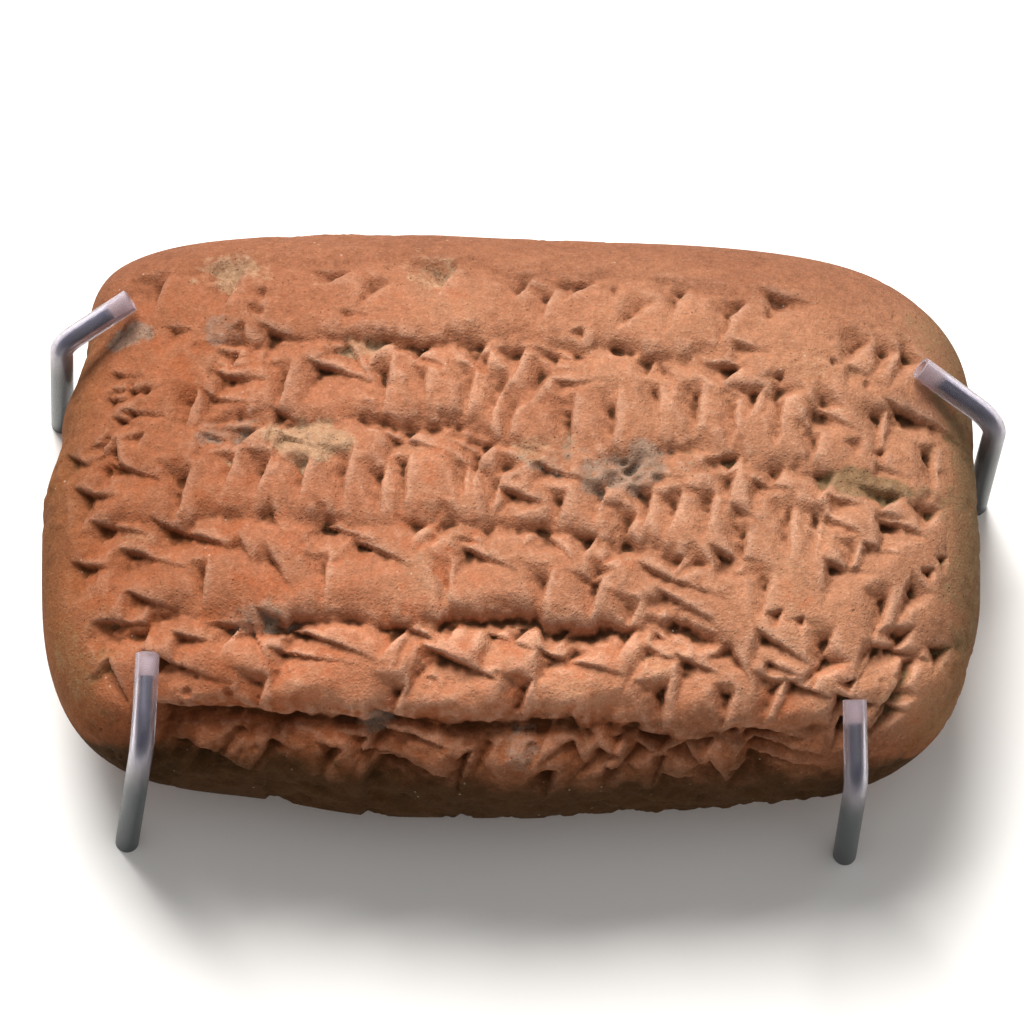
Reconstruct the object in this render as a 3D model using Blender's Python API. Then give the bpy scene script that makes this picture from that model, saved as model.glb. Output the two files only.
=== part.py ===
"""Cuneiform tablet of baked clay, lying face up, held by four steel pins in clear sleeves.

+X runs along the lines of writing, +Y to the tablet's top edge, +Z out of the written face.
Layout values are in millimetres; MM turns them into metres when meshes are made.
"""
import math
import random

import bmesh
import bpy
import numpy as np
from mathutils import Vector

MM = 0.001

# ---- tablet: a pillow whose three half axes each have their own roundness ----
HALF_LENGTH = 34.8
HALF_WIDTH = 22.3
HALF_THICKNESS = 11.0
LENGTH_POWER = 4.4
WIDTH_POWER = 3.9
DEPTH_POWER = 2.3
# how far the hand-patted outline runs in or out, every 15 degrees from +X
EDGE_WOBBLE = (
    1.010, 1.003, 1.009, 0.997, 0.990, 0.992, 0.997, 1.006,
    1.002, 1.021, 0.956, 0.977, 1.009, 1.007, 1.008, 1.015,
    0.986, 1.025, 1.023, 0.994, 0.977, 0.984, 0.993, 1.007,
)
CELLS = (22, 16, 7)
REST_FLAT = 0.35
MIDDLE_HEIGHT = HALF_THICKNESS - REST_FLAT
# accuracy of the search for the clay's surface and of the walk over it
HALVINGS = 40
WALK_SAMPLES = 500
NUDGE = 0.05
LEAST_HEIGHT = 0.01
SAME_PLACE = 1e-4

# ---- writing: words of pressed strokes, set along each row's lines ----
# word: (advance, ((dx, dy, angle, length, width, depth), ...)); dx, dy place each stroke's head
GROUPS = {
    "head": (3.0, ((0.0, 1.0, -90, 3.3, 4.4, 1.20),)),
    "brow": (4.2, ((0.0, 1.0, -90, 3.2, 6.1, 1.30),)),
    "nick": (2.0, ((-0.1, 0.5, -75, 1.9, 2.2, 0.80),)),
    "bar": (4.8, ((-2.4, 0.0, -1, 5.7, 4.3, 1.00),)),
    "dash": (3.2, ((-1.6, 0.0, 1, 3.9, 2.8, 0.75),)),
    "long": (8.0, ((-4.0, 0.0, -1, 9.5, 5.2, 1.20),)),
    "flat": (4.6, ((-2.1, 0.2, 4, 5.4, 4.8, 1.20),)),
    "post": (2.4, ((0.0, 2.3, -90, 5.9, 3.8, 1.10),)),
    "line": (2.4, ((0.0, 2.9, -89, 7.5, 3.0, 0.95),)),
    "stem": (4.0, ((0.0, 2.2, -88, 6.2, 5.6, 1.35),)),
    "fall": (2.8, ((-1.3, 1.3, -44, 5.1, 4.0, 0.95),)),
    "slip": (7.6, ((-3.8, 1.0, -16, 9.2, 4.6, 1.00),)),
    "rise": (2.8, ((1.2, 1.7, -125, 5.4, 3.5, 1.05),)),
    "bars2": (4.8, ((-2.3, 0.9, -2, 5.1, 2.5, 0.70), (-2.3, -0.8, 2, 5.3, 2.6, 0.75))),
    "bars3": (4.8, ((-2.3, 1.3, -3, 5.0, 2.1, 0.55), (-2.4, 0.1, 0, 5.1, 2.0, 0.55),
                    (-2.2, -1.1, 3, 5.1, 2.2, 0.65))),
    "falls": (4.6, ((-2.1, 1.7, -42, 5.1, 3.0, 0.80), (-0.4, 0.6, -38, 5.1, 3.1, 0.85))),
}
# small marks that are left to the finer surface
FINE_WORDS = ("nick", "dash")
STROKE_SEED = 7
# how much strokes differ: in size, in place and in degrees of turn
SIZE_SPREAD = (0.9, 1.12)
PLACE_SPREAD = 0.2
TURN_SPREAD = 6.0
# strokes go deeper where the row's ledge is cut deeper
DEPTH_LEAST = 0.8
DEPTH_PER_CUT = 0.45
LEDGE_LENGTH = 10.4
LEDGE_STEP = 8.4
LEDGE_WIDTH = 2.2
LEDGE_DEPTH = 0.9
LEAST_CUT = 0.5
# each row: height of its ledge, its bow, where the bow is highest, the ledge's two ends, how deep it
# is cut, then its lines: how far below the ledge, and words, each at the place the last number gives
# or an advance on from the word before it
FACE_ROWS = (
    (16.9, 0.0026, -10.0, (-34.0, 22.0), 0.3, (
        (0.9, "-28.8 stem -22.8 stem -14.8 brow -7 stem -1.2 head 3.2 brow 6.6 nick 11 head"
              " 15.5 head 20.2 flat"),
        (2.8, "-19.6 nick -11.6 rise 1.4 post 8 rise 10.7 line 14.8 line 24.7 rise 27.2 rise 29.4 rise"),
        (5.4, "-26 dash -21 nick -12 dash 4 nick 17 dash 25.5 dash"),
    )),
    (10.2, 0.0028, -8.0, (-24.0, 17.0), 0.7, (
        (0.7, "-22.5 head -17.3 flat -12.2 brow -8.4 head -4.3 head -1.2 head 1.8 head 5 dash 8.8 head"
              " 14.2 brow 19 nick 31 long"),
        (2.2, "-30 bars3 -21.6 bars3 -13.4 fall -6.4 dash -3.4 post 0.8 rise 4 bars3 10.6 fall 16.3 head"
              " 18.8 rise 22 rise 26.5 post"),
        (3.9, "-28.4 bars2 -21.5 bar -18.4 line -12.6 long -10.9 line -7.9 line -4.6 line -2 line 9.4 line"
              " 12.2 line 15 line 18.6 line 22.9 flat 24.8 nick 26.8 nick 30.5 line"),
        (5.4, "-30 dash -25.5 line -22 bar -1 line 2.4 line 6 line 21 post 28 dash"),
    )),
    (3.4, 0.0018, -18.0, (-26.0, 32.0), 0.7, (
        (0.7, "-32 nick -29 nick -22.3 brow -17 flat -9.2 head -4 brow 7.8 head 14 brow 17.7 head 21.2 brow"
              " 26.4 brow 30.3 head"),
        (2.4, "-33.5 bar -30.5 fall -21.8 bar -16.3 bar -8 bar -4.2 post -1.7 rise 3 bar 6.4 rise"
              " 11 dash 14.8 post"
              " 19 bar 24 dash 27.6 dash"),
        (4.3, "-29 slip -22.4 post -19.6 post -17 post -13.8 line -9.3 line -4.9 line -2.7 line 4.8 post"
              " 8.2 post 10.6 post 12.9 post 16.6 dash 18.9 line 21.2 post 24 bar 28 flat 31.8 nick"),
        (5.9, "-32 flat -25.5 line -11 line 0.5 bar 2.4 line 7 post 15.6 line 23.4 post 27 bar 30.6 nick"),
    )),
    (-4.7, 0.0018, -15.0, (-34.0, 20.0), 0.75, (
        (0.5, "-29.8 long -18.6 fall -15.2 rise -8.4 head -5.8 rise 4.1 head 7.8 rise 10.4 head 12.6 rise"
              " 15.8 flat 23.9 flat 29.6 rise"),
        (1.8, "-24 long -13.3 bar -2.8 bars3 1.9 fall 17.6 line 26.6 post"),
        (3.5, "-32.5 flat -27 long -19.5 falls -10.2 slip -2.8 bar 5.2 rise 11.4 slip 18.3 nick"
              " 20.4 nick 27.9 head"
              " 32.6 head"),
        (5.2, "-24 line -15.2 line -5.8 line 1.4 line 4.6 post 11.8 slip 22 line 27.6 bar"),
        (6.4, "-28 bar 7.4 post 19 bar 30 line"),
    )),
    (-12.5, 0.0006, 0.0, (-33.0, 16.0), 1.05, (
        (0.6, "-29 long -22 head -17.3 bar -10.4 brow -6 head -1.6 brow 2.4 head 6.6 head 12.8 flat 22.8 rise"
              " 29.2 long"),
        (2.1, "-23.5 bar -19.6 fall -14.6 long -6.6 bar -1 bar 3.6 rise 8.8 rise 11.2 bars2 15.6 fall"
              " 19.4 dash 24.6 nick"),
        (3.8, "-31.5 fall -25 long -15 long -5 long 4.6 long 13.6 flat 18 post 21.6 bar 30 rise"),
        (5.6, "-20 post -9.6 post -0.4 post 9.4 post 15 line 25.6 flat 29.4 rise"),
    )),
    (-19.8, 0.0004, 0.0, (-29.0, 27.0), 1.4, (
        (0.7, "-24.6 long -18 long -7.6 long 0.8 stem 3.8 fall 6.8 head 9.8 head 13.2 head 19.6 long"
              " 26.4 flat"),
        (2.4, "-22 rise -17.8 long -12 post -7.6 long -3 post 3.4 fall 5.8 rise 8.6 rise 12 fall"
              " 20 long 27.6 fall"),
        (4.2, "-25 bar -19 rise -14 post -9.6 bar -4.6 line 7.6 dash 10 line 14 fall 20.4 long"),
        (5.8, "-22 long -7 long 2 line 12 dash 18 bar"),
    )),
)
BACK_ROWS = (
    (18.6, 0.0012, 0.0, (-20.0, 20.0), 0.1, (
        (1.0, "-18 bar -12 head -9 head -4 bars2 2 post 4.6 post 9 brow 15 long"),
    )),
    (13.6, 0.0008, 0.0, (-20.0, 20.0), 0.1, (
        (1.0, "-16 long -9 post -5 bars2 0 head 5 flat 9.6 fall 14 bar"),
    )),
)

# a stroke's deepest spot: how far along it, and how far off its middle line for one across or down
APEX_ALONG = 0.16
APEX_LEAN = 0.62
APEX_SIDE = 0.66
CUTTER_REACH = 1.9

# ---- pins: steel wire in a clear sleeve; each runs foot, elbow, tip ----
WIRE_RADIUS = 0.47
BORE_RADIUS = 0.62
SLEEVE_RADIUS = 0.88
TIP_OVERHANG = 1.7
BEND_STEPS = 5
WIRE_SIDES = 8
SLEEVE_SIDES = 12
SHARP_ANGLE = 40.0
# name: (foot, elbow, tip, bend radius); heights count from the tablet's middle plane
PINS = {
    "top_left": ((-34.1, 12.2), (-33.95, 10.7, 6.7), (-28.9, 13.5, 8.85), 1.8),
    "top_right": ((36.3, 7.0), (36.0, 6.3, 6.1), (30.0, 9.2, 9.35), 3.4),
    "bottom_left": ((-28.3, -22.1), (-27.15, -21.9, 8.9), (-26.95, -15.3, 9.5), 2.6),
    "bottom_right": ((25.65, -22.0), (24.85, -22.9, 6.4), (24.6, -17.4, 8.8), 2.4),
}


def wobble(bearing):
    """Outline ratio at a bearing in radians, eased between the named ones."""
    place = (bearing % math.tau) / math.tau * len(EDGE_WOBBLE)
    index = int(place) % len(EDGE_WOBBLE)
    share = place - int(place)
    share = share * share * (3.0 - 2.0 * share)
    following = EDGE_WOBBLE[(index + 1) % len(EDGE_WOBBLE)]
    return EDGE_WOBBLE[index] * (1.0 - share) + following * share


def slab_point(direction):
    """Where a ray from the tablet's middle leaves the clay."""
    ratio = wobble(math.atan2(direction.y / HALF_WIDTH, direction.x / HALF_LENGTH))
    along = abs(direction.x) / (HALF_LENGTH * ratio)
    across = abs(direction.y) / (HALF_WIDTH * ratio)
    deep = abs(direction.z) / HALF_THICKNESS
    near, far = 0.0, 2.0 / max(along, across, deep)
    for _ in range(HALVINGS):
        reach = (near + far) / 2.0
        filled = (reach * along) ** LENGTH_POWER
        filled += (reach * across) ** WIDTH_POWER
        filled += (reach * deep) ** DEPTH_POWER
        if filled < 1.0:
            near = reach
        else:
            far = reach
    return direction * far


def arc_table(half, power):
    """Distance walked over the clay from the middle of the face, with its plan and height."""
    share = np.linspace(0.0, 1.0, WALK_SAMPLES)
    plan = half * (1.0 - (1.0 - share) ** 2)
    height = HALF_THICKNESS * np.maximum(1.0 - (plan / half) ** power, 0.0) ** (1.0 / DEPTH_POWER)
    walked = np.concatenate(([0.0], np.cumsum(np.hypot(np.diff(plan), np.diff(height)))))
    return walked, plan, height


LENGTH_ARC = arc_table(HALF_LENGTH, LENGTH_POWER)
WIDTH_ARC = arc_table(HALF_WIDTH, WIDTH_POWER)


def face_point(x, y, side):
    """Point on the clay at distances x, y from the middle of the face (side 1) or back (-1)."""
    plan_x = math.copysign(np.interp(abs(x), LENGTH_ARC[0], LENGTH_ARC[1]), x)
    plan_y = math.copysign(np.interp(abs(y), WIDTH_ARC[0], WIDTH_ARC[1]), y)
    height = np.interp(abs(x), LENGTH_ARC[0], LENGTH_ARC[2])
    height *= np.interp(abs(y), WIDTH_ARC[0], WIDTH_ARC[2]) / HALF_THICKNESS
    return slab_point(Vector((plan_x, side * plan_y, side * max(height, LEAST_HEIGHT))))


def ledge_marks(ledge, bow, crest, ends, cut):
    """The long wedges, end to end, that part a row from the one above it."""
    marks = []
    x, last = ends
    while x < last:
        y = ledge - bow * (x - crest) ** 2
        slope = -2.0 * bow * (x + LEDGE_LENGTH / 2.0 - crest)
        marks.append((x, y, math.atan(slope), LEDGE_LENGTH, LEDGE_WIDTH, LEDGE_DEPTH * cut))
        x += LEDGE_STEP
    return marks


def strokes(rows):
    """Every stroke of some rows as (x, y, angle, length, width, depth)."""
    rng = random.Random(STROKE_SEED)
    marks = []
    for ledge, bow, crest, ends, cut, lines in rows:
        if cut > LEAST_CUT:
            marks += ledge_marks(ledge, bow, crest, ends, cut)
        for drop, text in lines:
            middle = 0.0
            for word in text.split():
                if word not in GROUPS:
                    middle = float(word)
                    continue
                advance, group = GROUPS[word]
                line = ledge - bow * (middle - crest) ** 2 - drop
                for dx, dy, angle, length, width, depth in group:
                    grown = rng.uniform(*SIZE_SPREAD)
                    x = middle + dx + rng.uniform(-PLACE_SPREAD, PLACE_SPREAD)
                    y = line + dy + rng.uniform(-PLACE_SPREAD, PLACE_SPREAD)
                    turn = math.radians(angle + rng.uniform(-TURN_SPREAD, TURN_SPREAD))
                    pressed = depth * grown * (DEPTH_LEAST + DEPTH_PER_CUT * cut)
                    if word not in FINE_WORDS:
                        marks.append((x, y, turn, length * grown, width * grown, pressed))
                middle += advance
    return marks


def add_stroke(bm, mark, side):
    """One wedge: a three-sided spike whose point is the stroke's deepest spot."""
    x, y, turn, length, width, depth = mark
    centre = face_point(x, y, side)
    along = (face_point(x + NUDGE, y, side) - centre).normalized()
    rough_up = (face_point(x, y + NUDGE, side) - centre).normalized()
    out = along.cross(rough_up).normalized()
    up = out.cross(along)
    run = along * math.cos(turn) + up * math.sin(turn)
    left = out.cross(run)
    lean = APEX_LEAN * math.cos(turn) - APEX_SIDE * math.sin(turn)
    lean = max(-APEX_SIDE, min(APEX_SIDE, lean)) * width / 2.0
    apex = centre + run * (APEX_ALONG * length) + left * lean - out * depth
    corners = (centre + left * (width / 2.0), centre - left * (width / 2.0), centre + run * length)
    low = bm.verts.new(apex)
    high = [bm.verts.new(apex + (corner - apex) * CUTTER_REACH) for corner in corners]
    bm.faces.new(high)
    for first, second in ((0, 1), (1, 2), (2, 0)):
        bm.faces.new((high[second], high[first], low))


def mesh_object(name, bm, parent=None):
    """Close the mesh's making: outward faces, metres, its own object."""
    bmesh.ops.recalc_face_normals(bm, faces=bm.faces)
    bmesh.ops.scale(bm, vec=(MM, MM, MM), verts=bm.verts)
    mesh = bpy.data.meshes.new(name)
    bm.to_mesh(mesh)
    bm.free()
    obj = bpy.data.objects.new(name, mesh)
    bpy.context.collection.objects.link(obj)
    obj.parent = parent
    return obj


def build_slab():
    """The pillow of clay, from a cube cut into cells and pushed out to the slab's surface."""
    bm = bmesh.new()
    bmesh.ops.create_cube(bm, size=2.0)
    for axis, cells in enumerate(CELLS):
        others = [n for n in range(3) if n != axis]
        edges = [
            edge for edge in bm.edges
            if all(abs(edge.verts[0].co[n] - edge.verts[1].co[n]) < SAME_PLACE for n in others)
        ]
        bmesh.ops.subdivide_edges(bm, edges=edges, cuts=cells - 1, use_grid_fill=True)
    for vert in bm.verts:
        u, v, w = vert.co
        vert.co = slab_point(Vector((u * HALF_LENGTH, v * HALF_WIDTH, w * HALF_THICKNESS)))
    cut = bmesh.ops.bisect_plane(
        bm, geom=bm.verts[:] + bm.edges[:] + bm.faces[:],
        plane_co=(0.0, 0.0, -MIDDLE_HEIGHT), plane_no=(0.0, 0.0, -1.0), clear_outer=True,
    )
    rim = [item for item in cut["geom_cut"] if isinstance(item, bmesh.types.BMEdge)]
    bmesh.ops.contextual_create(bm, geom=rim)
    bmesh.ops.translate(bm, vec=(0.0, 0.0, MIDDLE_HEIGHT), verts=bm.verts)
    return bm


def build_strokes():
    """All the spikes that press the writing, in one cutter."""
    bm = bmesh.new()
    for rows, side in ((FACE_ROWS, 1), (BACK_ROWS, -1)):
        for mark in strokes(rows):
            add_stroke(bm, mark, side)
    bmesh.ops.translate(bm, vec=(0.0, 0.0, MIDDLE_HEIGHT), verts=bm.verts)
    return bm


def hook_path(foot, elbow, tip, radius, cut_short=0.0):
    """Centre line of a pin as (point, direction), its elbow rounded to an arc."""
    rise = (elbow - foot).normalized()
    reach = (tip - elbow).normalized()
    turn = rise.angle(reach)
    tangent = radius * math.tan(turn / 2.0)
    path = [(foot, rise)]
    axis = rise.cross(reach).normalized()
    inward = axis.cross(rise)
    centre = elbow - rise * tangent + inward * radius
    for step in range(BEND_STEPS + 1):
        angle = turn * step / BEND_STEPS
        spoke = rise * math.sin(angle) - inward * math.cos(angle)
        heading = rise * math.cos(angle) + inward * math.sin(angle)
        path.append((centre + spoke * radius, heading))
    path.append((tip - reach * cut_short, reach))
    return path, axis


def sweep_ring(bm, point, heading, axis, radius, sides, flat_foot):
    """One ring of points round a centre line; a foot ring is slid down to the floor."""
    normal = axis.cross(heading)
    ring = []
    for side in range(sides):
        angle = math.tau * side / sides
        spot = point + normal * (radius * math.cos(angle)) + axis * (radius * math.sin(angle))
        if flat_foot:
            spot = spot - heading * (spot.z / heading.z)
            spot.z = 0.0
        ring.append(bm.verts.new(spot))
    return ring


def bridge(bm, first, second):
    """Quads between two rings of equal count."""
    count = len(first)
    for n in range(count):
        m = (n + 1) % count
        bm.faces.new((first[n], first[m], second[m], second[n]))


def build_wall(bm, path, axis, radius, sides):
    """The tube wall along a path, as its list of rings."""
    rings = [
        sweep_ring(bm, point, heading, axis, radius, sides, index == 0)
        for index, (point, heading) in enumerate(path)
    ]
    for first, second in zip(rings, rings[1:]):
        bridge(bm, first, second)
    return rings


def build_wire(points, radius):
    """A bent wire with flat ends; it stops short inside its sleeve."""
    bm = bmesh.new()
    path, axis = hook_path(*points, radius, TIP_OVERHANG)
    rings = build_wall(bm, path, axis, WIRE_RADIUS, WIRE_SIDES)
    bm.faces.new(rings[0])
    bm.faces.new(rings[-1])
    return bm


def build_sleeve(points, radius):
    """The tube over a wire, open at its foot and at its tip."""
    bm = bmesh.new()
    path, axis = hook_path(*points, radius)
    outer = build_wall(bm, path, axis, SLEEVE_RADIUS, SLEEVE_SIDES)
    inner = build_wall(bm, path, axis, BORE_RADIUS, SLEEVE_SIDES)
    bridge(bm, outer[0], inner[0])
    bridge(bm, outer[-1], inner[-1])
    return bm


def pin_points(foot, elbow, tip):
    """A pin's three corners, with heights counted from the floor."""
    raised = Vector((0.0, 0.0, MIDDLE_HEIGHT))
    return Vector((*foot, 0.0)), Vector(elbow) + raised, Vector(tip) + raised


def surface(name, colour, roughness, metallic=0.0, transmission=0.0):
    """A Principled material."""
    material = bpy.data.materials.new(name)
    material.use_nodes = True
    shader = material.node_tree.nodes["Principled BSDF"]
    shader.inputs["Base Color"].default_value = (*colour, 1.0)
    shader.inputs["Roughness"].default_value = roughness
    shader.inputs["Metallic"].default_value = metallic
    shader.inputs["Transmission Weight"].default_value = transmission
    return material


def rest_on_origin(holder, objects):
    """Slide everything so that the middle of its footprint is the origin."""
    bpy.context.view_layer.update()
    graph = bpy.context.evaluated_depsgraph_get()
    corners = []
    for obj in objects:
        shape = obj.evaluated_get(graph)
        corners += [obj.matrix_world @ vert.co for vert in shape.data.vertices]
    for axis in range(2):
        values = [corner[axis] for corner in corners]
        holder.location[axis] = -(min(values) + max(values)) / 2.0
    bpy.context.view_layer.update()


def build():
    """Make every piece of the tablet and its pins."""
    for old in list(bpy.data.objects):
        bpy.data.objects.remove(old, do_unlink=True)
    clay = surface("clay", (0.51, 0.21, 0.12), 0.85)
    steel = surface("steel", (0.42, 0.43, 0.46), 0.35, metallic=1.0)
    clear = surface("clear_plastic", (0.85, 0.86, 0.88), 0.2, transmission=0.9)

    holder = bpy.data.objects.new("tablet_and_pins", None)
    bpy.context.collection.objects.link(holder)

    tablet = mesh_object("tablet", build_slab(), holder)
    tablet.data.materials.append(clay)
    stylus = mesh_object("stylus_cutter", build_strokes(), holder)
    stylus.hide_render = True
    stylus.display_type = "WIRE"
    pressed = tablet.modifiers.new("writing", "BOOLEAN")
    pressed.operation = "DIFFERENCE"
    pressed.object = stylus
    pressed.use_self = True

    pieces = [tablet]
    for name, (foot, elbow, tip, radius) in PINS.items():
        points = pin_points(foot, elbow, tip)
        wire = mesh_object("pin_" + name, build_wire(points, radius), holder)
        wire.data.materials.append(steel)
        sleeve = mesh_object("sleeve_" + name, build_sleeve(points, radius), holder)
        sleeve.data.materials.append(clear)
        for piece in (wire, sleeve):
            piece.data.shade_smooth()
            piece.data.set_sharp_from_angle(angle=math.radians(SHARP_ANGLE))
            pieces.append(piece)
    rest_on_origin(holder, pieces)


build()
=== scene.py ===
# The look of the cuneiform tablet: worn baked clay pressed with wedge strokes, and four steel pins
# in clear sleeves. Lengths are in millimetres until a mesh is made, +X along the lines of writing.
import math
import random

import bpy
import numpy as np
from mathutils import Matrix, Vector


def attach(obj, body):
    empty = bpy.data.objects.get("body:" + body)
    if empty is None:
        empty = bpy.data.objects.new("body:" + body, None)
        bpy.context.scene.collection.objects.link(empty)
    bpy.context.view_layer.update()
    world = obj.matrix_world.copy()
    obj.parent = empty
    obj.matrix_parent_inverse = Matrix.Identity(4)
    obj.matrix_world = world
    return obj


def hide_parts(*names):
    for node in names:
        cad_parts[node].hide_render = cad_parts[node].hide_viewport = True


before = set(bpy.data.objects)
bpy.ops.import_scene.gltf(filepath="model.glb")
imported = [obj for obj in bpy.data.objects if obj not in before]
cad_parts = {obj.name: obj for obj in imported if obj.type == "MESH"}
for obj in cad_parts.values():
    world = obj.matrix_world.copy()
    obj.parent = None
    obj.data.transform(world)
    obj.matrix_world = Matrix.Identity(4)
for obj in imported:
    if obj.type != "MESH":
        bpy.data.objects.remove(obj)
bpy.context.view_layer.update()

MM = 0.001
# the slab's middle in the frame, whose origin is the middle of the whole footprint
SLAB_MIDDLE = np.array((-1.0792, 0.6711, 10.65))

# ---- the slab, as the solid has it ----
HALF_LENGTH, HALF_WIDTH, HALF_THICKNESS = 34.8, 22.3, 11.0
LENGTH_POWER, WIDTH_POWER, DEPTH_POWER = 4.4, 3.9, 2.3
EDGE_WOBBLE = np.array((
    1.010, 1.003, 1.009, 0.997, 0.990, 0.992, 0.997, 1.006,
    1.002, 1.021, 0.956, 0.977, 1.009, 1.007, 1.008, 1.015,
    0.986, 1.025, 1.023, 0.994, 0.977, 0.984, 0.993, 1.007,
))
# accuracy of the search for the clay's surface and of the walk over it
HALVINGS = 34
WALK_SAMPLES = 2000
# how fine the clay's sheets are laid, how many triangles they are thinned to, and how near the
# points of their rims lie, in metres
CLAY_CELL = 0.155
CLAY_TRIANGLES = 196000
SAME_RIM_PLACE = 1e-6

# ---- writing: words of strokes set along each row's lines, from the same words as the solid ----
# word: (advance, ((dx, dy, angle, length, width, depth), ...)); dx, dy place each stroke's head
GROUPS = {
    "head": (3.0, ((0.0, 1.0, -90, 3.3, 4.4, 1.20),)),
    "brow": (4.2, ((0.0, 1.0, -90, 3.2, 6.1, 1.30),)),
    "nick": (2.0, ((-0.1, 0.5, -75, 1.9, 2.2, 0.80),)),
    "bar": (4.8, ((-2.4, 0.0, -1, 5.7, 4.3, 1.00),)),
    "dash": (3.2, ((-1.6, 0.0, 1, 3.9, 2.8, 0.75),)),
    "long": (8.0, ((-4.0, 0.0, -1, 9.5, 5.2, 1.20),)),
    "flat": (4.6, ((-2.1, 0.2, 4, 5.4, 4.8, 1.20),)),
    "post": (2.4, ((0.0, 2.3, -90, 5.9, 3.8, 1.10),)),
    "line": (2.4, ((0.0, 2.9, -89, 7.5, 3.0, 0.95),)),
    "stem": (4.0, ((0.0, 2.2, -88, 6.2, 5.6, 1.35),)),
    "fall": (2.8, ((-1.3, 1.3, -44, 5.1, 4.0, 0.95),)),
    "slip": (7.6, ((-3.8, 1.0, -16, 9.2, 4.6, 1.00),)),
    "rise": (2.8, ((1.2, 1.7, -125, 5.4, 3.5, 1.05),)),
    "bars2": (4.8, ((-2.3, 0.9, -2, 5.1, 2.5, 0.70), (-2.3, -0.8, 2, 5.3, 2.6, 0.75))),
    "bars3": (4.8, ((-2.3, 1.3, -3, 5.0, 2.1, 0.55), (-2.4, 0.1, 0, 5.1, 2.0, 0.55),
                    (-2.2, -1.1, 3, 5.1, 2.2, 0.65))),
    "falls": (4.6, ((-2.1, 1.7, -42, 5.1, 3.0, 0.80), (-0.4, 0.6, -38, 5.1, 3.1, 0.85))),
}
STROKE_SEED = 7
# how much strokes differ: in size, in place and in degrees of turn
SIZE_SPREAD = (0.9, 1.12)
PLACE_SPREAD = 0.2
TURN_SPREAD = 6.0
# strokes go deeper where the row's ledge is cut deeper
DEPTH_LEAST = 0.8
DEPTH_PER_CUT = 0.45
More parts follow.
